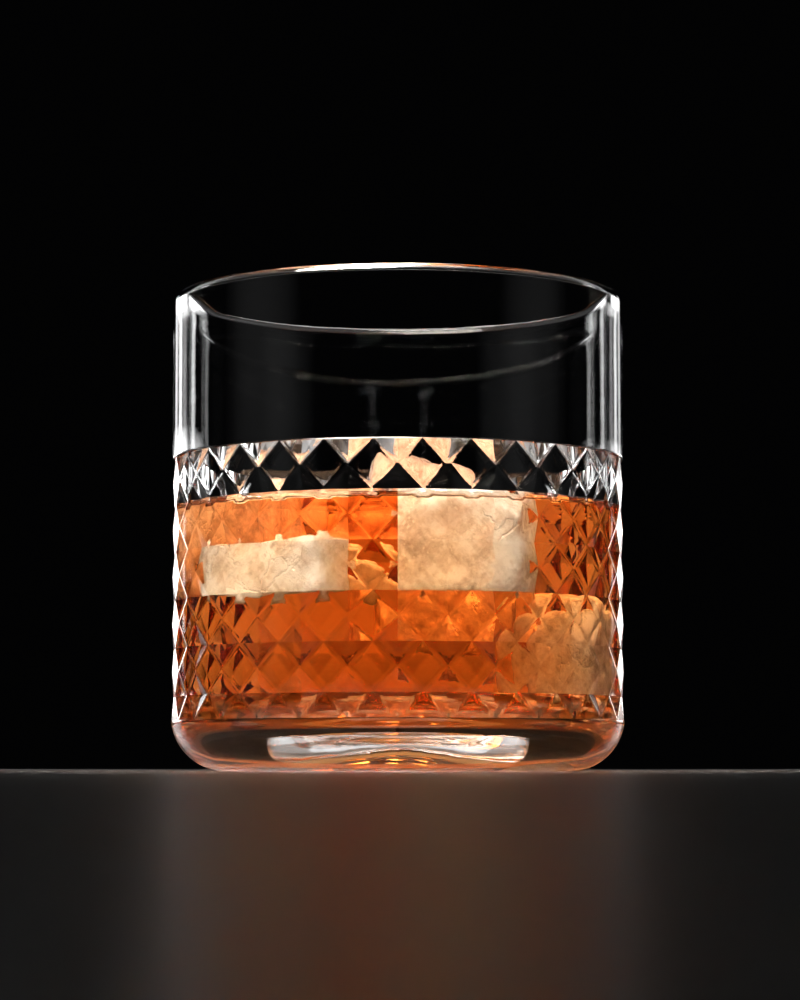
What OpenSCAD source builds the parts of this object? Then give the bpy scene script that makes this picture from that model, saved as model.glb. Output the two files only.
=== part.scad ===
// Whisky on the rocks: a diamond-cut tumbler with whisky and ice cubes in it.
// Millimetres, +Z up, origin on the table under the middle of the glass.

/* [Glass] */
// Outer diameter of the tumbler
glass_d = 86; // [78:1:104]
// Height of the tumbler, from the table to the lip
glass_h = 90.5; // [84:0.5:110]
// Thickness of the wall, with a lip that is fully rounded
wall = 3.2; // [2.8:0.1:4.5]
// Thickness of the bottom, from the table to the drink
base_t = 8; // [6:0.5:14]
// Radius of the outer corner round the foot
foot_r = 10.5; // [8:0.5:13]
// Radius of the inner corner round the bottom
well_r = 8; // [4:0.5:10]
// Diameter of the hollow under the foot
punt_d = 32; // [24:1:56]
// Depth of the hollow under the foot, on the axis
punt_depth = 2; // [1:0.25:4]

/* [Cut pattern] */
// Number of diamonds round the glass
cut_count = 30; // [24:1:36]
// Height of one diamond
cut_h = 9; // [7:0.25:11]
// Rows of diamonds, where the half row lies along the lower edge
cut_rows = 5.5; // [2.5:1:6.5]
// Height of the pattern's lower edge above the table
cut_z = 9.5; // [9:0.5:16]
// How far the corners of the flat diamonds stand back from the plain glass
cut_inset = 0.12; // [0.08:0.02:0.4]
// Depth of the pyramids that are cut in between the flat diamonds
cut_depth = 1.2; // [0.6:0.05:1.5]

/* [Drink] */
// Level of the whisky above the table
fill_z = 48.5; // [40:0.5:62]
// How far the whisky creeps up the wall
creep = 1; // [0.4:0.1:2]

/* [Ice] */
// Width of an ice cube
ice_w = 22; // [16:0.5:24]
// Height of an ice cube
ice_h = 20; // [14:0.5:24]
// Radius of an ice cube's melted edges
ice_r = 2.4; // [1.5:0.1:4]
// How far the right ice cube stands out of the whisky
right_out = 3; // [1:0.5:8]
// How far the left ice cube stands out of the whisky
left_out = 6.5; // [1:0.5:10]
// How far the rear ice cube stands out of the whisky, at its tilted top
rear_out = 15; // [4:0.5:18]
// Least gap between an ice cube's corner and the wall of the glass
ice_gap = 1.5; // [0.5:0.5:4]
// Least gap between the ice cubes
ice_space = 0.2; // [0:0.1:1]

/* [Hidden] */

past = 1;                         // how far a cutter runs past what it cuts
outer_r = glass_d / 2;
inner_r = outer_r - wall;
lip_r = wall / 2;
punt_r = (pow(punt_d / 2, 2) + pow(punt_depth, 2)) / (2 * punt_depth);

corner_r = outer_r - cut_inset;   // radius of the flat diamonds' side corners
half_a = 180 / cut_count;         // angle of half a diamond
flat_r = corner_r * cos(half_a);  // distance of the flat diamonds from the axis
apex_r = corner_r - cut_depth;    // radius of the points of the cut pyramids
cols = 2 * cut_count;             // half diamonds round the glass
levels = 2 * cut_rows;            // half diamonds up the pattern
sleeve_r = outer_r + 2;           // outside of the cutter that leaves the pattern

// The cubes stand in a ring. ice_need is the angle that each one needs there when it
// faces the axis, and what is left over is the play that lets them turn and lean.
ice_core = ice_w / 2 - ice_r;
ice_ring = inner_r - ice_gap - (ice_core * sqrt(2) + ice_r);
ice_edge = [ice_ring - ice_core, ice_core];   // middle of a cube's rounded inner edge
ice_need = 2 * (atan2(ice_edge[1], ice_edge[0])
                + asin((ice_r + ice_space / 2) / norm(ice_edge)));
ice_play = pow(max(0, 120 - ice_need), 2) / 45; // degrees, much less where it is tight
side_left = 165;                  // directions from the axis, in degrees from +X
side_right = side_left + 120 + 0.275 * ice_play;
side_rear = side_left - 120 + 0.825 * ice_play;
turn_left = side_left - 0.6 * ice_play;
turn_right = side_right - 0.6 * ice_play;
turn_rear = side_rear + 0.3 * ice_play;
lean_rear = 0.26 * ice_play;
rear_half = (ice_h * cos(lean_rear) + ice_w * sin(lean_rear)) / 2;
rear_wide = (ice_w * cos(lean_rear) + ice_h * sin(lean_rear)) / 2;
rear_ring = inner_r - ice_gap - norm([ice_core, rear_wide - ice_r]) - ice_r;

// Half sections, turned round the axis.
module well_outline(top) {
    translate([0, base_t + well_r]) square([inner_r, top - base_t - well_r]);
    translate([0, base_t]) square([inner_r - well_r, well_r + past]);
    intersection() {
        translate([inner_r - well_r, base_t + well_r]) circle(r = well_r, $fn = 90);
        translate([0, base_t]) square([inner_r, well_r + past]);
    }
}

module glass_outline() {
    difference() {
        union() {
            translate([0, foot_r]) square([outer_r, glass_h - foot_r - lip_r]);
            square([outer_r - foot_r, foot_r + past]);
            intersection() {
                translate([outer_r - foot_r, foot_r]) circle(r = foot_r, $fn = 90);
                square([outer_r, foot_r + past]);
            }
        }
        well_outline(glass_h);
        translate([0, punt_depth - punt_r]) circle(r = punt_r, $fn = 180);
    }
    intersection() {
        translate([outer_r - lip_r, glass_h - lip_r]) circle(r = lip_r, $fn = 60);
        translate([inner_r, glass_h - lip_r]) square([wall, lip_r]);
    }
}

// Half columns i run round the glass and half rows j run up it. Where i + j is
// odd, four pieces meet. Elsewhere a flat diamond or a cut pyramid has its middle:
// pyramids where i is even, flat diamonds where i is odd.
function cut_point(i, j) =
    let (pyramid = i % 2 == 0 && j % 2 == levels % 2,
         r = pyramid ? apex_r : i % 2 == 0 ? corner_r : flat_r,
         a = i * half_a - 90)
    [r * cos(a), r * sin(a), cut_z + j * cut_h / 2];

function cut_id(i, j) = (i % cols) * (levels + 1) + j;

function outer_id(i, j) = cols * (levels + 1) + (i % cols) * 2 + j;

// Each cell between half columns and half rows is split along the line that
// bounds a pyramid, so the flat diamonds come out flat.
function cell_faces(i, j) =
    let (a = cut_id(i, j), b = cut_id(i + 1, j), c = cut_id(i + 1, j + 1),
         d = cut_id(i, j + 1))
    (i + j + levels) % 2 == 0 ? [[a, b, d], [b, c, d]] : [[a, b, c], [a, c, d]];

// The sleeve is what is ground away round the outside: a ring whose inner side
// is the pattern and whose outer side stands clear of the glass.
module cut_sleeve() {
    points = concat(
        [for (i = [0:cols - 1], j = [0:levels]) cut_point(i, j)],
        [for (i = [0:cols - 1], j = [0:1])
            [sleeve_r * cos(i * half_a - 90), sleeve_r * sin(i * half_a - 90),
             cut_z + j * levels * cut_h / 2]]);
    inside = [for (i = [0:cols - 1], j = [0:levels - 1]) each cell_faces(i, j)];
    outside = [for (i = [0:cols - 1])
        [outer_id(i, 0), outer_id(i, 1), outer_id(i + 1, 1), outer_id(i + 1, 0)]];
    bottom = [for (i = [0:cols - 1])
        [cut_id(i, 0), outer_id(i, 0), outer_id(i + 1, 0), cut_id(i + 1, 0)]];
    top = [for (i = [0:cols - 1])
        [cut_id(i, levels), cut_id(i + 1, levels), outer_id(i + 1, 1), outer_id(i, 1)]];
    polyhedron(points = points, faces = concat(inside, outside, bottom, top), convexity = 8);
}

module glass() {
    color([0.85, 0.9, 0.92, 0.35])
    difference() {
        rotate_extrude($fn = 180) glass_outline();
        cut_sleeve();
    }
}

module whisky_outline() {
    well_outline(fill_z);
    translate([inner_r - creep, fill_z - past]) difference() {
        square([creep, creep + past]);
        translate([0, creep + past]) circle(r = creep, $fn = 60);
    }
}

module whisky() {
    color([0.72, 0.3, 0.04, 0.8])
    difference() {
        rotate_extrude($fn = 180) whisky_outline();
        ice_right_shape();
        ice_left_shape();
        ice_rear_shape();
    }
}

module rounded_bar(a, b, length) {
    linear_extrude(height = length, center = true) {
        square([a - 2 * ice_r, b], center = true);
        square([a, b - 2 * ice_r], center = true);
        for (x = [-1, 1], y = [-1, 1])
            translate([x * (a / 2 - ice_r), y * (b / 2 - ice_r)]) circle(r = ice_r, $fn = 48);
    }
}

// A melted cube is the shape that three rounded bars along X, Y and Z share.
module ice_cube() {
    intersection() {
        rounded_bar(ice_w, ice_w, ice_h);
        rotate([90, 0, 0]) rounded_bar(ice_w, ice_h, ice_w);
        rotate([90, 0, 90]) rounded_bar(ice_w, ice_h, ice_w);
    }
}

module flat_ice(side, turn, out) {
    translate([ice_ring * cos(side), ice_ring * sin(side), fill_z + out - ice_h / 2])
        rotate([0, 0, turn]) ice_cube();
}

module ice_right_shape() {
    flat_ice(side_right, turn_right, right_out);
}

module ice_left_shape() {
    flat_ice(side_left, turn_left, left_out);
}

module ice_rear_shape() {
    translate([rear_ring * cos(side_rear), rear_ring * sin(side_rear),
               fill_z + rear_out - rear_half])
        rotate([lean_rear, 0, turn_rear]) ice_cube();
}

module ice_right() {
    color([0.95, 0.9, 0.85, 0.7]) ice_right_shape();
}

module ice_left() {
    color([0.95, 0.9, 0.85, 0.7]) ice_left_shape();
}

module ice_rear() {
    color([0.95, 0.9, 0.85, 0.7]) ice_rear_shape();
}

glass();
whisky();
ice_right();
ice_left();
ice_rear();
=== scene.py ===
import bpy
import math
import numpy as np
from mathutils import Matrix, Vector


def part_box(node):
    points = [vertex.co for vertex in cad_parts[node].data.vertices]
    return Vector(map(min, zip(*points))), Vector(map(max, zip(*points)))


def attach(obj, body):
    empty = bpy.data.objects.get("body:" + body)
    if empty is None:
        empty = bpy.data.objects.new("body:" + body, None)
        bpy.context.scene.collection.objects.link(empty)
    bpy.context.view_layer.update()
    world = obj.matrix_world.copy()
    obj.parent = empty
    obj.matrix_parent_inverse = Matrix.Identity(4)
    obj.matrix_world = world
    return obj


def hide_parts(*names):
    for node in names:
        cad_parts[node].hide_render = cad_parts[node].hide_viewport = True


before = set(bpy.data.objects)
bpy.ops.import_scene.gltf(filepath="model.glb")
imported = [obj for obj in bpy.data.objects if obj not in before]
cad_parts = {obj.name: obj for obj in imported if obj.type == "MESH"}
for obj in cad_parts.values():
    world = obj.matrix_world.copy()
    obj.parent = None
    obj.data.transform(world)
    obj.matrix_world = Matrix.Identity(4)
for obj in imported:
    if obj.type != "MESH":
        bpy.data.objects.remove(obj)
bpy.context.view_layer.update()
print("frame loaded:", sorted(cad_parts))

glassLow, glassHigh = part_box("glass")
drinkLow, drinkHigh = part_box("whisky")
outerRadius = max(glassHigh[0], -glassLow[0])
innerRadius = max(drinkHigh[0], -drinkLow[0])
lipHeight = glassHigh[2]
floorHeight = drinkLow[2]


# shapes that several pieces share; lengths are in metres unless a line says otherwise

def makeMesh(name, points, faces):
    # points is n by 3; faces is a list of arrays, each with as many columns as its faces have corners
    corners = np.concatenate([part.reshape(-1) for part in faces])
    sizes = np.concatenate([np.full(len(part), part.shape[1]) for part in faces])
    starts = np.concatenate([[0], np.cumsum(sizes)[:-1]])
    mesh = bpy.data.meshes.new(name)
    mesh.vertices.add(len(points))
    mesh.vertices.foreach_set("co", np.asarray(points, np.float32).reshape(-1))
    mesh.loops.add(len(corners))
    mesh.loops.foreach_set("vertex_index", corners.astype(np.int32))
    mesh.polygons.add(len(starts))
    mesh.polygons.foreach_set("loop_start", starts.astype(np.int32))
    mesh.update(calc_edges=True)
    mesh.shade_smooth()
    return mesh


def addPiece(name, mesh, material):
    piece = bpy.data.objects.new(name, mesh)
    bpy.context.scene.collection.objects.link(piece)
    mesh.materials.clear()
    mesh.materials.append(material)
    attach(piece, "root")
    return piece


def arc(centreR, centreZ, radius, start, end, steps):
    # part of a circle in the half section, in degrees, 0 outwards and 90 upwards
    angle = np.radians(np.linspace(start, end, steps + 1))
    return np.stack([centreR + radius * np.cos(angle), centreZ + radius * np.sin(angle)], 1)


def run(start, end, steps):
    # steps + 1 points along a straight line in the half section
    share = np.linspace(0, 1, steps + 1)[:, None]
    return np.array(start) * (1 - share) + np.array(end) * share


def turned(outline, directions):
    # a half section turned round the axis: its radius along each direction, at its own height
    ring = outline[:, None, :1] * directions[None]
    height = np.broadcast_to(outline[:, 1][:, None, None], ring.shape[:2] + (1,))
    return np.concatenate([ring, height], -1)


def turnFaces(rows, columns, lean=None):
    # faces of rows of points that each run once round the axis: quads, or triangles
    # where lean picks the diagonal
    row, column = np.meshgrid(np.arange(rows - 1), np.arange(columns), indexing="ij")
    after = (column + 1) % columns
    a, b = row * columns + column, row * columns + after
    c, d = (row + 1) * columns + after, (row + 1) * columns + column
    if lean is None:
        return np.stack([a, b, c, d], -1).reshape(-1, 4)
    rising = np.stack([np.stack([a, b, c], -1), np.stack([a, c, d], -1)], -2)
    falling = np.stack([np.stack([a, b, d], -1), np.stack([b, c, d], -1)], -2)
    return np.where(lean[:, :, None, None], rising, falling).reshape(-1, 3)


def capFaces(first, columns, pole, upwards):
    # a fan that closes a row on its pole
    here = first + np.arange(columns)
    after = first + (np.arange(columns) + 1) % columns
    pair = (here, after) if upwards else (after, here)
    return np.stack([pair[0], pair[1], np.full(columns, pole)], 1)


def waves(points, length, count, seed):
    # smooth noise of about 1 either way: sines of about that wavelength in random
    # directions, added up and divided by the square root of their number
    dice = np.random.default_rng(seed)
    directions = dice.normal(size=(count, 3))
    directions *= (2 * math.pi / length) / np.linalg.norm(directions, axis=1, keepdims=True)
    directions *= dice.uniform(0.7, 1.4, (count, 1))
    phases = dice.uniform(0, 2 * math.pi, count)
    return np.sin(points @ directions.T + phases).sum(1) / math.sqrt(count)


# tumbler

tumbler = dict(
    wall=outerRadius - innerRadius,
    footRound=0.0105,     # outer corner of the foot
    wellRound=0.008,      # inner corner over it
    puntWidth=0.034, puntDepth=0.002,    # hollow under the foot
    cuts=30, rows=5.5,    # diamonds round the glass and up it
    cutHeight=0.009,      # of one diamond
    cutFoot=0.0095,       # height where the cuts start
    inset=0.00012,        # of the diamonds' corners from the plain wall
    depth=0.0012,         # of a pyramid's middle
    crease=0.17,          # half width of a rounded crease, as a share of half a diamond
    cell=8,               # steps along half a diamond
    ledge=0.00018,        # chamfer on the plain band's lower edge
    ripple=0.000012, rippleLength=0.03,  # unevenness of the inner wall
    sharp=28,             # degrees from which an edge outside the cuts stays sharp
)
columns = 2 * tumbler["cuts"] * tumbler["cell"]
levels = int(2 * tumbler["rows"])


def posts(index):
    # the points that the outline runs through: corners of flat diamonds at even
    # posts, and the middles of flat diamonds, nearer the axis, at odd ones
    halfAngle = math.pi / tumbler["cuts"]
    corner = outerRadius - tumbler["inset"]
    radius = np.where(index % 2 == 0, corner, corner * math.cos(halfAngle))
    angle = index * halfAngle - math.pi / 2
    return np.stack([radius * np.cos(angle), radius * np.sin(angle)], -1)


def soften(value, width):
    # 0 below -width, value above width, and a parabola in between
    parabola = np.maximum(value + width, 0) ** 2 / (4 * width)
    return np.where(value > width, value, parabola)


def rhombus(u, v):
    # how far a point is from the edge between pyramid and flat diamond: 1 in the middle
    # of a pyramid, 0 on the edge and -1 in the middle of a flat diamond
    post = np.floor(u)
    across = np.where(post % 2 == 0, u - post, 1 - u + post)
    return 1 - across - np.abs((v - levels + 1) % 2 - 1)


def cutPoint(u, v):
    # u counts half diamonds round the glass and v counts them upwards. A point lies on
    # the straight line between two posts, less the depth of the sunken pyramid there. The
    # depth falls evenly from the pyramid's middle to nothing at its rhombic edge.
    post = np.floor(u)
    share = (u - post)[..., None]
    near, far = posts(post), posts(post + 1)
    even = np.where((post % 2 == 0)[..., None], near, far)
    depth = tumbler["depth"] * soften(rhombus(u, v), tumbler["crease"])
    outward = even / np.linalg.norm(even, axis=-1, keepdims=True)
    flat = near * (1 - share) + far * share - depth[..., None] * outward
    z = tumbler["cutFoot"] + v * tumbler["cutHeight"] / 2
    return np.concatenate([flat, z[..., None]], -1)


def creaseShare(u, v):
    # 1 on the edge itself, falling off evenly to 0 where the rounding ends
    return np.clip(1 - np.abs(rhombus(u, v)) / tumbler["crease"], 0, 1)


def cutNormal(u, v):
    # across both directions of the surface, by small steps each way
    step = 0.01
    alongU = cutPoint(u + step, v) - cutPoint(u - step, v)
    alongV = cutPoint(u, v + step) - cutPoint(u, v - step)
    normal = np.cross(alongU, alongV)
    return normal / np.linalg.norm(normal, axis=-1, keepdims=True)


def lowerOutline():
    # the half section below the cuts: the hollow under the foot, a squared cosine, then
    # outwards and round the foot, which ends a ledge under the cuts
    t = tumbler
    share = np.linspace(0.06, 1, 18)
    punt = np.stack([share * t["puntWidth"] / 2, t["puntDepth"] * np.cos(share * math.pi / 2) ** 2], 1)
    foot = run((t["puntWidth"] / 2 + 0.0004, 0), (outerRadius - t["footRound"], 0), 3)
    cutAngle = -math.degrees(math.asin((t["footRound"] - t["cutFoot"] + t["ledge"]) / t["footRound"]))
    corner = arc(outerRadius - t["footRound"], t["footRound"], t["footRound"], -90, cutAngle, 16)[1:]
    shoulder = np.array([[outerRadius - t["inset"], t["cutFoot"]]])
    return np.concatenate([punt, foot, corner, shoulder])


def upperOutline():
    # the half section above the cuts: a chamfer, the plain band, over the lip, down the
    # inside and along the floor to the axis
    t = tumbler
    cutTop = t["cutFoot"] + t["rows"] * t["cutHeight"]
    edge = np.array([[outerRadius - t["ledge"], cutTop],
                     [outerRadius - t["ledge"] * 0.3, cutTop + t["ledge"] * 0.3],
                     [outerRadius, cutTop + t["ledge"]]])
    lip = t["wall"] / 2
    plain = run((outerRadius, cutTop + 2 * t["ledge"]), (outerRadius, lipHeight - lip), 7)
    rim = arc(outerRadius - lip, lipHeight - lip, lip, 0, 180, 16)[1:]
    side = run((innerRadius, lipHeight - lip), (innerRadius, floorHeight + t["wellRound"]), 14)[1:]
    well = arc(innerRadius - t["wellRound"], floorHeight + t["wellRound"], t["wellRound"], 0, -90, 14)[1:]
    floor = run((innerRadius - t["wellRound"], floorHeight), (0.002, floorHeight), 5)[1:]
    return np.concatenate([edge, plain, rim, side, well, floor])


def rippled(points):
    # the inner wall, above its floor, moved in and out by long waves
    inside = np.linalg.norm(points[:, :2], axis=1) < innerRadius + 1e-6
    inside &= points[:, 2] > floorHeight + 1e-3
    ripple = 1 + inside * waves(points, tumbler["rippleLength"], 9, 3) * tumbler["ripple"] / innerRadius
    return points * np.stack([ripple, ripple, np.ones_like(ripple)], 1)


def shadeCuts(mesh, faces, firstRow, rows):
    # the shading of the cuts follows the formula, so the facets stay flat and the creases
    # round; each corner's normal is read a little towards the middle of its face
    inwards = 0.3
    normals = np.empty(len(mesh.loops) * 3, np.float32)
    mesh.corner_normals.foreach_get("vector", normals)
    normals = normals.reshape(-1, 3)
    row, column = faces // columns, faces % columns
    cut = (row.min(1) >= firstRow) & (row.max(1) < firstRow + rows)
    u = column[cut] / tumbler["cell"]
    wrapped = u.max(1, keepdims=True) - u > tumbler["cuts"]
    u = u + wrapped * 2 * tumbler["cuts"]
    v = (row[cut] - firstRow) / tumbler["cell"]
    readU = u + (u.mean(1, keepdims=True) - u) * inwards
    readV = v + (v.mean(1, keepdims=True) - v) * inwards
    loops = (np.nonzero(cut)[0][:, None] * 3 + np.arange(3)).reshape(-1)
    normals[loops] = cutNormal(readU, readV).reshape(-1, 3)
    mesh.normals_split_custom_set(normals.tolist())


def tumblerMesh():
    # rows of points from the hollow under the foot up the outside and down the inside, with
    # the cuts in the middle, and a crease attribute that says where the cuts' edges are
    cell = tumbler["cell"]
    u, v = np.meshgrid(np.arange(columns) / cell, np.arange(levels * cell + 1) / cell)
    cuts = cutPoint(u, v)
    directions = cuts[0, :, :2] / np.linalg.norm(cuts[0, :, :2], axis=-1, keepdims=True)
    lower = turned(lowerOutline(), directions)
    upper = turned(upperOutline(), directions)
    poles = [[0, 0, tumbler["puntDepth"]], [0, 0, floorHeight]]
    points = np.concatenate([lower.reshape(-1, 3), cuts.reshape(-1, 3),
                             rippled(upper.reshape(-1, 3)), poles])

    # the diagonals in each quarter of a diamond run the way that its slanting edge does
    rows = len(lower) + len(cuts) + len(upper)
    level, post = np.arange(len(cuts) - 1) // cell, np.arange(columns) // cell
    lean = np.zeros((rows - 1, columns), bool)
    lean[len(lower):len(lower) + len(cuts) - 1] = (level[:, None] + post[None, :] + levels) % 2 == 1
    faces = turnFaces(rows, columns, lean)
    bottom = capFaces(0, columns, rows * columns, False)
    floor = capFaces((rows - 1) * columns, columns, rows * columns + 1, True)
    mesh = makeMesh("tumbler", points, [faces, bottom, floor])
    mesh.set_sharp_from_angle(angle=math.radians(tumbler["sharp"]))

    crease = np.zeros(len(points), np.float32)
    crease[len(lower) * columns:(len(lower) + len(cuts)) * columns] = creaseShare(u, v).reshape(-1)
    mesh.attributes.new("crease", "FLOAT", "POINT").data.foreach_set("value", crease)
    shadeCuts(mesh, faces, len(lower), len(cuts))
    return mesh


# ice

iceForm = dict(
    width=0.022, height=0.020,
    squareness=7.5,       # the higher, the sharper the melted edges
    steps=34,             # squares along an edge of a cube
    hollowSteps=24,       # the same, for the hollow that it leaves in the whisky
    swell=0.00045, swellLength=0.017,
    dimples=0.00016, dimpleLength=0.0055,
    pits=0.00004, pitLength=0.0019,
    shrink=0.9,           # of the swell, by which the whole form is smaller
    chips=4,              # corners that are broken off
    chipReach=(0.74, 0.84),              # how far out, as a share of the corner's reach
    chipBite=0.92,        # share of what lies beyond that is gone
    gap=0.00007,          # how far the ice reaches into the whisky round it
)
floating = dict(          # turn about Z and lean about X, in degrees
    ice_left=(138.9, 0), ice_right=(270.8, 0), ice_rear=(94.0, 11.3),
)
sunk = dict(              # place in mm, width, depth and height in mm, turn, lean, tip
    ice_front=((-20.2, -21.6, 36.9), (28.5, 12.5, 12.6), 317, 0, -1),
    ice_low=((26.6, -5.5, 20.8), (17.0, 17.0, 18.5), -12, 4, -4),
    ice_deep=((6.2, 7.0, 28.0), (18.0, 17.0, 12.0), 5, 4, 3),
    ice_chip=((-6.2, -12.5, 35.0), (8.0, 6.5, 8.5), 25, 18, 12),
)
whiskyLightPainted = ("ice_left", "ice_rear")       # cubes whose tones have painted light in them: the warm glow of light that comes through the whisky


def turnMatrix(turn, lean, tip):
    # a tip about Y, then a lean about X, then a turn about Z
    a, b, c = math.radians(turn), math.radians(lean), math.radians(tip)
    aboutZ = np.array([[math.cos(a), -math.sin(a), 0], [math.sin(a), math.cos(a), 0], [0, 0, 1]])
    aboutX = np.array([[1, 0, 0], [0, math.cos(b), -math.sin(b)], [0, math.sin(b), math.cos(b)]])
    aboutY = np.array([[math.cos(c), 0, math.sin(c)], [0, 1, 0], [-math.sin(c), 0, math.cos(c)]])
    return aboutZ @ aboutX @ aboutY


def cubeGrid(steps):
    # the six sides of a cube as one closed grid: points on the cube from -1 to 1, and quads
    line = np.linspace(-1, 1, steps + 1)
    a, b = np.meshgrid(line, line, indexing="ij")
    one = np.ones_like(a)
    sides = [(one, a, b), (-one, b, a), (b, one, a), (a, -one, b), (a, b, one), (b, a, -one)]
    points = np.concatenate([np.stack(side, -1).reshape(-1, 3) for side in sides])
    i, j = np.meshgrid(np.arange(steps), np.arange(steps), indexing="ij")
    corner = (i * (steps + 1) + j).reshape(-1)
    quad = np.stack([corner, corner + steps + 1, corner + steps + 2, corner + 1], -1)
    quads = np.concatenate([quad + k * (steps + 1) ** 2 for k in range(6)])
    # points that two or three sides share are merged
    keys = np.round(points * 4096).astype(int)
    first, same = np.unique(keys, axis=0, return_index=True, return_inverse=True)[1:]
    return points[first], same.reshape(-1)[quads]


def iceShape(size, seed, steps, grow=0.0):
    # a point of the cube is divided by its own p-norm, which rounds the edges as melting
    # does; long, middle and short waves then swell, dimple and pit it, and a few planes
    # that cut across corners leave chips
    f = iceForm
    grid, quads = cubeGrid(steps)
    norm = (np.abs(grid) ** f["squareness"]).sum(1, keepdims=True) ** (1 / f["squareness"])
    half = np.array(size) / 2
    form = grid / norm * half
    outward = grid / np.linalg.norm(grid, axis=1, keepdims=True)
    swell = f["swell"] * waves(form, f["swellLength"], 6, seed)
    dimples = f["dimples"] * waves(form, f["dimpleLength"], 10, seed + 1)
    pits = f["pits"] * waves(form, f["pitLength"], 14, seed + 2)
    form = form + outward * (swell + dimples + pits - f["swell"] * f["shrink"])[:, None]
    dice = np.random.default_rng(seed)
    for chip in range(f["chips"]):
        plane = np.sign(dice.normal(size=3)) * dice.uniform(0.5, 1.0, 3)
        plane /= np.linalg.norm(plane)
        reach = (np.abs(plane) * half).sum() * dice.uniform(*f["chipReach"])
        over = np.maximum(form @ plane - reach, 0)
        form = form - over[:, None] * plane * f["chipBite"]
    return form + outward * grow, quads


def placedIce(name, steps, grow=0.0):
    # floating ice stands in the middle of its own node's box, and sunk ice at its listed place
    if name in floating:
        low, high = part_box(name)
        middle = (np.array(low) + np.array(high)) / 2
        size = (iceForm["width"], iceForm["width"], iceForm["height"])
        turn, lean = floating[name]
        tip = 0
    else:
        middle, size, turn, lean, tip = sunk[name]
        middle, size = np.array(middle) / 1000, np.array(size) / 1000
    seed = 11 + 7 * (list(floating) + list(sunk)).index(name)
    form, quads = iceShape(size, seed, steps, grow)
    return form @ turnMatrix(turn, lean, tip).T + middle, quads


# whisky

drink = dict(
    reach=0.00006,        # how far it reaches into the glass
    level=drinkHigh[2] - 0.001,
    creep=0.001,          # up the wall
    cling=0.0015,         # up the ice
    clingFade=0.0011,     # distance from the ice over which that falls to about a third
    melt=0.0004,          # by which the ice's outline is smaller than its cube
    ragged=0.35,          # unevenness of the creep up the ice
    ripple=0.00006,       # unevenness of the level itself
    around=360, across=76,               # points round the level and along a radius of it
    sharp=50,             # degrees from which an edge stays sharp
)


def drinkMesh():
    # the inside of the tumbler as a profile turned round the axis, up to a level that
    # creeps up the wall and the ice; the hollows round the sunk ice are shells turned inside out
    d = drink
    wall = innerRadius + d["reach"]
    bottom = floorHeight - d["reach"]
    bend = tumbler["wellRound"]
    floor = run((0.0015, bottom), (wall - bend, bottom), 8)
    corner = arc(wall - bend, bottom + bend, bend, -90, 0, 14)[1:]
    side = run((wall, bottom + bend), (wall, d["level"] + d["creep"]), 12)[1:]
    inner = innerRadius - d["creep"]
    rise = arc(inner, d["level"] + d["creep"], d["creep"], -6, -84, 7)
    top = run((inner, d["level"]), (0.0012, d["level"]), d["across"])
    outline = np.concatenate([floor, corner, side, rise, top])
    angle = np.arange(d["around"]) * 2 * math.pi / d["around"]
    rings = turned(outline, np.stack([np.cos(angle), np.sin(angle)], -1))
    surface = rings[-len(top):]
    surface[..., 2] += clingHeight(surface[..., :2].reshape(-1, 2)).reshape(surface.shape[:2])
    points = np.concatenate([rings.reshape(-1, 3), [[0, 0, bottom], [0, 0, d["level"]]]])
    rows, count = rings.shape[:2]
    faces = [turnFaces(rows, count),
             capFaces(0, count, rows * count, False),
             capFaces((rows - 1) * count, count, rows * count + 1, True)]
    for name in sunk:
        form, quads = placedIce(name, iceForm["hollowSteps"], -iceForm["gap"])
        faces.append(quads[:, ::-1] + len(points))
        points = np.concatenate([points, form])
    return makeMesh("drink", points, faces)


def clingHeight(places):
    # the whisky's rise beside the floating ice falls off with the distance from its
    # outline, which is a square with rounded corners, by a 6-norm
    level = np.concatenate([places, places[:, :1] * 0], 1)
    rise = waves(level, 0.02, 7, 5) * drink["ripple"]
    half = iceForm["width"] / 2 - drink["melt"]
    for name in floating:
        low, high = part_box(name)
        middle = (np.array(low) + np.array(high))[:2] / 2
        turn = math.radians(floating[name][0])
        unturn = np.array([[math.cos(turn), -math.sin(turn)], [math.sin(turn), math.cos(turn)]])
        square = (np.abs((places - middle) @ unturn) ** 6).sum(1) ** (1 / 6)
        rise += drink["cling"] * np.exp(-np.maximum(square - half, 0) / drink["clingFade"])
    rise *= 1 + drink["ragged"] * waves(level, 0.006, 9, 8)
    return np.minimum(rise, drink["cling"])


def addCutters():
    # the floating cubes again, a little smaller, for cutting the whisky
    cutters = []
    for name in floating:
        form, quads = placedIce(name, iceForm["hollowSteps"], -iceForm["gap"])
        cutter = bpy.data.objects.new("cutter_" + name, makeMesh("cutter_" + name, form, [quads]))
        bpy.context.scene.collection.objects.link(cutter)
        cutters.append(cutter)
    return cutters


def cutOut(target, cutters):
    # a boolean difference, applied at once so that no modifier is left
    for cutter in cutters:
        step = target.modifiers.new("cut", "BOOLEAN")
        step.operation, step.solver, step.object = "DIFFERENCE", "EXACT", cutter
    bpy.context.view_layer.update()
    graph = bpy.context.evaluated_depsgraph_get()
    mesh = bpy.data.meshes.new_from_object(target.evaluated_get(graph))
    target.modifiers.clear()
    target.data = mesh
    for cutter in cutters:
        bpy.data.objects.remove(cutter)


# materials

def shader(name):
    material = bpy.data.materials.new(name)
    material.use_nodes = True
    nodes = material.node_tree.nodes
    return material, nodes, material.node_tree.links, nodes["Principled BSDF"]


def noise(nodes, links, scale, detail, roughness=0.5):
    # noise on Object coordinates, in features per metre
    place = nodes.new("ShaderNodeTexCoord")
    pattern = nodes.new("ShaderNodeTexNoise")
    pattern.inputs["Scale"].default_value = scale
    pattern.inputs["Detail"].default_value = detail
    pattern.inputs["Roughness"].default_value = roughness
    links.new(place.outputs["Object"], pattern.inputs["Vector"])
    return pattern.outputs["Fac"]


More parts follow.
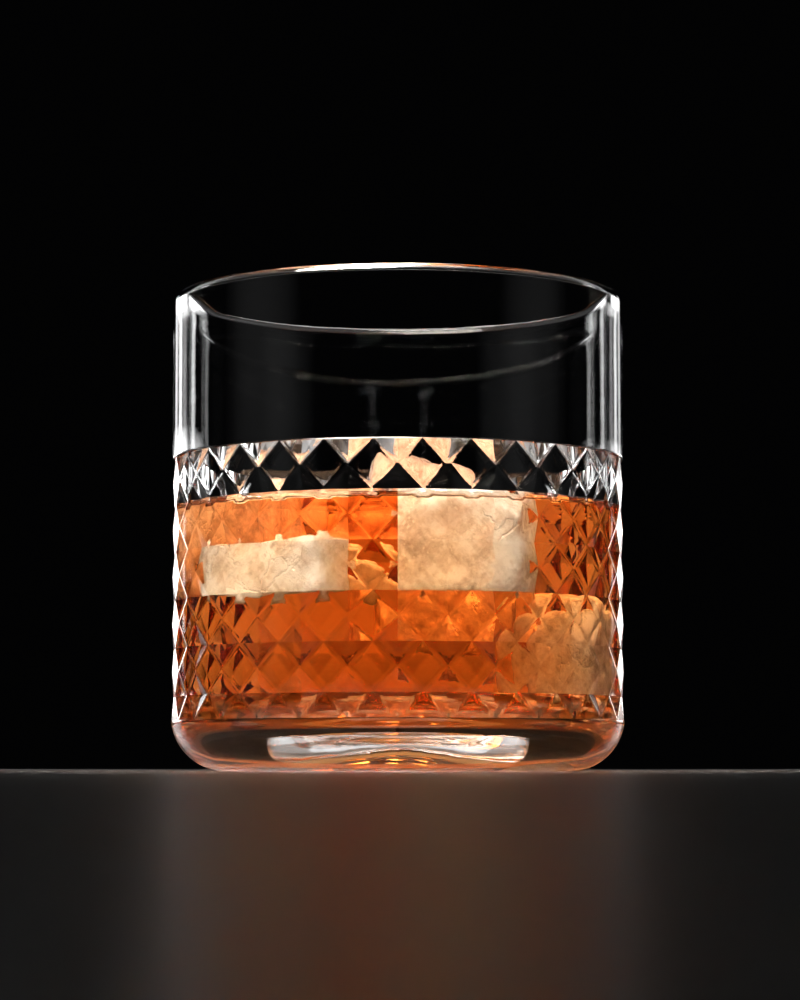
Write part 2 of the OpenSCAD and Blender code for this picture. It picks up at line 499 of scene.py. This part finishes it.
def between(nodes, links, source, low, high, bottom, top):
    # source from low to high becomes bottom to top
    span = nodes.new("ShaderNodeMapRange")
    span.inputs["From Min"].default_value, span.inputs["From Max"].default_value = low, high
    span.inputs["To Min"].default_value, span.inputs["To Max"].default_value = bottom, top
    links.new(source, span.inputs["Value"])
    return span.outputs["Result"]


def combine(nodes, links, operation, first, second):
    step = nodes.new("ShaderNodeMath")
    step.operation = operation
    links.new(first, step.inputs[0])
    links.new(second, step.inputs[1])
    return step.outputs["Value"]


def bump(nodes, links, source, strength, distance):
    step = nodes.new("ShaderNodeBump")
    step.inputs["Strength"].default_value = strength
    step.inputs["Distance"].default_value = distance
    links.new(source, step.inputs["Height"])
    return step.outputs["Normal"]


glassLook = dict(
    colour=(0.985, 0.99, 0.99),
    waves=160, grain=2200,               # features per metre
    grainHeight=32,       # of the grain, against the waves
    bumpStrength=0.04, bumpHeight=0.0002,
)


def glassMaterial():
    # clear glass with the faintest waviness of pressed and polished work, and a fine
    # grain left on the edges of the cuts
    material, nodes, links, surface = shader("clear_glass")
    surface.inputs["Base Color"].default_value = glassLook["colour"] + (1,)
    surface.inputs["Transmission Weight"].default_value = 1
    surface.inputs["IOR"].default_value = 1.5
    surface.inputs["Roughness"].default_value = 0.0
    crease = nodes.new("ShaderNodeAttribute")
    crease.attribute_name = "crease"
    grain = noise(nodes, links, glassLook["grain"], 2)
    edgeGrain = combine(nodes, links, "MULTIPLY", grain, crease.outputs["Fac"])
    height = nodes.new("ShaderNodeMath")
    height.operation = "MULTIPLY_ADD"
    height.inputs[1].default_value = glassLook["grainHeight"]
    links.new(edgeGrain, height.inputs[0])
    links.new(noise(nodes, links, glassLook["waves"], 2), height.inputs[2])
    relief = bump(nodes, links, height.outputs["Value"], glassLook["bumpStrength"], glassLook["bumpHeight"])
    links.new(relief, surface.inputs["Normal"])
    return material


whiskyLook = dict(tint=(0.94, 0.61, 0.17), strength=80.0)    # strength per metre


def whiskyMaterial():
    # clear liquid that takes out blue first and then green, the more the deeper it is
    material, nodes, links, surface = shader("whisky")
    surface.inputs["Base Color"].default_value = (1, 1, 1, 1)
    surface.inputs["Transmission Weight"].default_value = 1
    surface.inputs["IOR"].default_value = 1.36
    surface.inputs["Roughness"].default_value = 0.0
    depth = nodes.new("ShaderNodeVolumeAbsorption")
    depth.inputs["Color"].default_value = whiskyLook["tint"] + (1,)
    depth.inputs["Density"].default_value = whiskyLook["strength"]
    links.new(depth.outputs["Volume"], nodes["Material Output"].inputs["Volume"])
    return material


iceLook = dict(
    clouds=190, specks=1500, grain=600,  # features per metre
    cracks=115, bends=240, patches=60,   # the same, for the cracks and where they are
    bendReach=0.006,      # how far the cracks are bent
    clear=(0.30, 0.56),   # the noise from here to there goes from clear to milky
    speck=(0.60, 0.68),   # the same for specks
    speckMilk=0.8,
    crackWidth=0.035, crackShare=0.52, crackFade=0.08,
    through=(0.70, 0.18), # light let through by clear and by milky ice
    rough=(0.01, 0.14),
    plain=((0.93, 0.76, 0.58), (0.99, 0.97, 0.93)),      # tones of clear and of milky ice with painted light in them: the warm glow of light through the whisky
    whiskyLightPainted=((0.78, 0.48, 0.31), (0.92, 0.64, 0.46)),    # where whisky has run over it
    bumpStrength=0.5, bumpHeight=0.0008,
)


def crackLines(nodes, links):
    # the edges of a Voronoi pattern, bent by noise, where a broad noise is high
    place = nodes.new("ShaderNodeTexCoord")
    bend = nodes.new("ShaderNodeVectorMath")
    bend.operation = "MULTIPLY_ADD"
    bend.inputs[1].default_value = (iceLook["bendReach"],) * 3
    links.new(noise(nodes, links, iceLook["bends"], 3, 0.6), bend.inputs[0])
    links.new(place.outputs["Object"], bend.inputs[2])
    cells = nodes.new("ShaderNodeTexVoronoi")
    cells.feature = "DISTANCE_TO_EDGE"
    cells.inputs["Scale"].default_value = iceLook["cracks"]
    links.new(bend.outputs["Vector"], cells.inputs["Vector"])
    line = between(nodes, links, cells.outputs["Distance"], 0, iceLook["crackWidth"], 1, 0)
    start, end = iceLook["crackShare"], iceLook["crackShare"] + iceLook["crackFade"]
    patch = between(nodes, links, noise(nodes, links, iceLook["patches"], 2), start, end, 0, 1)
    return combine(nodes, links, "MULTIPLY", line, patch)


def iceMaterial(name, clearTone, milkTone):
    # melting ice: clear where it is smooth, milky where it holds fine bubbles, with white cracks
    material, nodes, links, surface = shader(name)
    cloud = noise(nodes, links, iceLook["clouds"], 7, 0.70)
    speck = noise(nodes, links, iceLook["specks"], 2, 0.4)
    milk = combine(nodes, links, "MAXIMUM",
                   between(nodes, links, cloud, *iceLook["clear"], 0, 1),
                   between(nodes, links, speck, *iceLook["speck"], 0, iceLook["speckMilk"]))
    crack = crackLines(nodes, links)
    white = combine(nodes, links, "MAXIMUM", milk, crack)
    through = between(nodes, links, white, 0, 1, *iceLook["through"])
    links.new(through, surface.inputs["Transmission Weight"])
    links.new(between(nodes, links, white, 0, 1, *iceLook["rough"]), surface.inputs["Roughness"])
    tone = nodes.new("ShaderNodeMix")
    tone.data_type = "RGBA"
    tone.inputs["A"].default_value = clearTone + (1,)
    tone.inputs["B"].default_value = milkTone + (1,)
    links.new(milk, tone.inputs["Factor"])
    links.new(tone.outputs["Result"], surface.inputs["Base Color"])
    surface.inputs["IOR"].default_value = 1.31
    height = combine(nodes, links, "SUBTRACT", noise(nodes, links, iceLook["grain"], 6, 0.7), crack)
    relief = bump(nodes, links, height, iceLook["bumpStrength"], iceLook["bumpHeight"])
    links.new(relief, surface.inputs["Normal"])
    return material


clearGlass = glassMaterial()
plainIce = iceMaterial("ice", *iceLook["plain"])
# the same ice with the warm light that comes through the whisky painted into its tones
whiskyLightPaintedIce = iceMaterial("whisky_light_painted_ice", *iceLook["whiskyLightPainted"])

glassPiece = addPiece("tumbler", tumblerMesh(), clearGlass)
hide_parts("glass")
print("tumbler made:", len(glassPiece.data.polygons), "faces")

cutters = addCutters()
drinkPiece = addPiece("whisky_fill", drinkMesh(), whiskyMaterial())
cutOut(drinkPiece, cutters)
drinkPiece.data.shade_smooth()
drinkPiece.data.set_sharp_from_angle(angle=math.radians(drink["sharp"]))
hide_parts("whisky")
print("whisky made:", len(drinkPiece.data.polygons), "faces")

icePieces = {}
for name in list(floating) + list(sunk):
    form, quads = placedIce(name, iceForm["steps"])
    # the listed floating cubes get the tones with painted whisky light, the rest the plain ones
    look = whiskyLightPaintedIce if name in whiskyLightPainted else plainIce
    icePiece = addPiece(name + "_melted", makeMesh(name + "_melted", form, [quads]), look)
    icePieces[name] = icePiece
    if name in floating:
        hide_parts(name)
print("ice made:", len(floating), "floating and", len(sunk), "sunk")


# stage

studio = dict(
    distance=0.572, height=0.0008, aside=0.0004,         # where the camera stands
    pitch=5.08,           # degrees that it looks upwards
    lens=108.2,           # mm
    backdrop=(0.0008, 0.0008, 0.0009), floor=(0.5, 0.5, 0.51),
    floorReach=1.6,       # from the middle to each edge of the floor
    flag=(0.034, 0.057, 0.082),          # half the card's width, its top and how far behind it stands
)


def addSheet(name, corners):
    # one flat face with a plain material of its own, whose shader is returned too
    sheet = bpy.data.objects.new(name, makeMesh(name, np.array(corners), [np.array([[0, 1, 2, 3]])]))
    bpy.context.scene.collection.objects.link(sheet)
    material, nodes, links, surface = shader(name)
    sheet.data.materials.append(material)
    return sheet, surface


def addStage():
    # the floor, the dark card and the world; returns the floor
    far = studio["floorReach"]
    floor, surface = addSheet("floor", [[-far, -far, 0], [far, -far, 0], [far, far, 0], [-far, far, 0]])
    surface.inputs["Base Color"].default_value = studio["floor"] + (1,)
    surface.inputs["Roughness"].default_value = 0.35

    # a dark card behind the glass, below the line of sight over the whisky, keeps the
    # strip lights out of the drink; the camera itself doesn't see it, and it casts no shadow
    wide, top, back = studio["flag"]
    low = 0.0005
    flag, surface = addSheet("flag", [[-wide, back, low], [wide, back, low],
                                      [wide, back, top], [-wide, back, top]])
    surface.inputs["Base Color"].default_value = (0.01, 0.01, 0.01, 1)
    surface.inputs["Specular IOR Level"].default_value = 0
    flag.visible_camera = False
    flag.visible_shadow = False

    world = bpy.data.worlds.new("studio")
    world.use_nodes = True
    world.node_tree.nodes["Background"].inputs["Color"].default_value = studio["backdrop"] + (1,)
    bpy.context.scene.world = world
    return floor


def addLight(name, place, target, width, height, power, spread=180, colour=(1, 1, 1),
             lit=None, blockers=None):
    # a soft box; lit and blockers list the pieces that it lights and that shade it, where
    # those aren't all of them
    light = bpy.data.lights.new(name, "AREA")
    light.shape, light.size, light.size_y = "RECTANGLE", width, height
    light.energy, light.color, light.spread = power, colour, math.radians(spread)
    fade(light)
    lamp = bpy.data.objects.new(name, light)
    lamp.location = place
    lamp.rotation_euler = aim(place, target)
    lamp.visible_camera = False
    bpy.context.scene.collection.objects.link(lamp)
    if lit:
        lamp.light_linking.receiver_collection = gather(name + "_lit", lit)
    if blockers:
        lamp.light_linking.blocker_collection = gather(name + "_blockers", blockers)


def gather(name, pieces):
    group = bpy.data.collections.new(name)
    for piece in pieces:
        group.objects.link(piece)
    return group


def fade(light):
    # brightest in the middle: the product of two parabolas over the box's own width and
    # height, which is a sixteenth there
    light.use_nodes = True
    nodes, links = light.node_tree.nodes, light.node_tree.links
    place = nodes.new("ShaderNodeTexCoord")
    axes = nodes.new("ShaderNodeSeparateXYZ")
    links.new(place.outputs["UV"], axes.inputs["Vector"])
    parabolas = []
    for axis in ("X", "Y"):
        rest = nodes.new("ShaderNodeMath")
        rest.operation = "SUBTRACT"
        rest.inputs[0].default_value = 1
        links.new(axes.outputs[axis], rest.inputs[1])
        parabolas.append(combine(nodes, links, "MULTIPLY", axes.outputs[axis], rest.outputs["Value"]))
    product = combine(nodes, links, "MULTIPLY", *parabolas)
    links.new(between(nodes, links, product, 0, 1 / 16, 0, 2), nodes["Emission"].inputs["Strength"])


def aim(place, target):
    # turns an object's -Z from its place towards a target
    return (Vector(target) - Vector(place)).to_track_quat("-Z", "Y").to_euler()


def addCamera():
    camera = bpy.data.cameras.new("camera")
    camera.lens = studio["lens"]
    camera.sensor_fit = "VERTICAL"
    camera.sensor_width = camera.sensor_height = 36
    camera.clip_start = 0.001
    shot = bpy.data.objects.new("camera", camera)
    shot.location = (studio["aside"], -studio["distance"], studio["height"])
    shot.rotation_euler = (math.radians(90 + studio["pitch"]), 0, 0)
    bpy.context.scene.collection.objects.link(shot)
    bpy.context.scene.camera = shot


floor = addStage()
ice = list(icePieces.values())
# floating cubes whose tones hold painted whisky light, and the plain white ones
whiskyLightPaintedCubes = [icePieces[name] for name in floating if name in whiskyLightPainted]
whiteCubes = [icePieces[name] for name in floating if name not in whiskyLightPainted]
above = whiskyLightPaintedCubes + whiteCubes
inside = [glassPiece, drinkPiece] + [piece for piece in ice if piece not in above]

# small cards close behind the glass, which the drink is seen against, and a warm glow on
# the floor there
addLight("back_card", (0.0, 0.080, 0.034), (0, 0, 0.034), 0.056, 0.053, 0.0047, lit=inside + above)
addLight("low_card", (0.0, 0.078, 0.009), (0, 0, 0.009), 0.17, 0.015, 0.0008,
         colour=(1, 0.6, 0.32), lit=inside)
addLight("foot_card", (0.0, 0.077, 0.007), (0, 0, 0.007), 0.035, 0.012, 0.00012, lit=inside)
addLight("floor_glow", (0, 0.085, 0.06), (0, 0.085, 0), 0.14, 0.09, 0.02,
         colour=(1, 0.42, 0.15), lit=[floor], blockers=[floor])

# strips further behind that draw the edges of the glass, and weak light from the sides
addLight("left_strip", (-0.30, 0.50, 0.070), (0, 0, 0.045), 0.26, 0.12, 0.42)
addLight("left_tall", (-0.28, 0.50, 0.15), (0, 0, 0.045), 0.09, 0.14, 0.05)
addLight("right_strip", (0.29, 0.50, 0.068), (0, 0, 0.045), 0.20, 0.11, 0.22)
addLight("right_tall", (0.28, 0.50, 0.15), (0, 0, 0.045), 0.08, 0.14, 0.03)
addLight("left_soft", (-0.34, -0.12, 0.16), (0, 0, 0.045), 0.30, 0.30, 0.013)
addLight("right_soft", (0.34, -0.12, 0.16), (0, 0, 0.045), 0.26, 0.30, 0.010)

# strong light from above for the glass, the drink and the sunk ice, and a milder pair of
# lights for the cubes that stand out of the whisky
addLight("top_soft", (-0.03, 0.05, 0.36), (0, 0, 0.05), 0.11, 0.11, 2.8, 35,
         colour=(1, 0.95, 0.88), lit=inside)
addLight("high_front", (-0.12, -0.20, 0.40), (0, 0, 0.04), 0.32, 0.32, 44.0,
         colour=(1, 0.94, 0.84), lit=inside)
addLight("ice_warm", (0.10, -0.40, 0.20), (0, 0, 0.05), 0.20, 0.20, 3.0,
         colour=(1, 0.50, 0.28), lit=whiskyLightPaintedCubes, blockers=ice + [drinkPiece])
addLight("ice_white", (-0.10, -0.25, 0.30), (0, 0, 0.05), 0.20, 0.20, 2.2,
         lit=whiteCubes, blockers=ice + [drinkPiece])
addCamera()

scene = bpy.context.scene
scene.cycles.max_bounces = 40
scene.cycles.transmission_bounces = 36
scene.cycles.glossy_bounces = 16
scene.cycles.diffuse_bounces = 4
scene.cycles.volume_bounces = 2
scene.cycles.transparent_max_bounces = 16
scene.view_settings.view_transform = "Standard"
print("stage set")
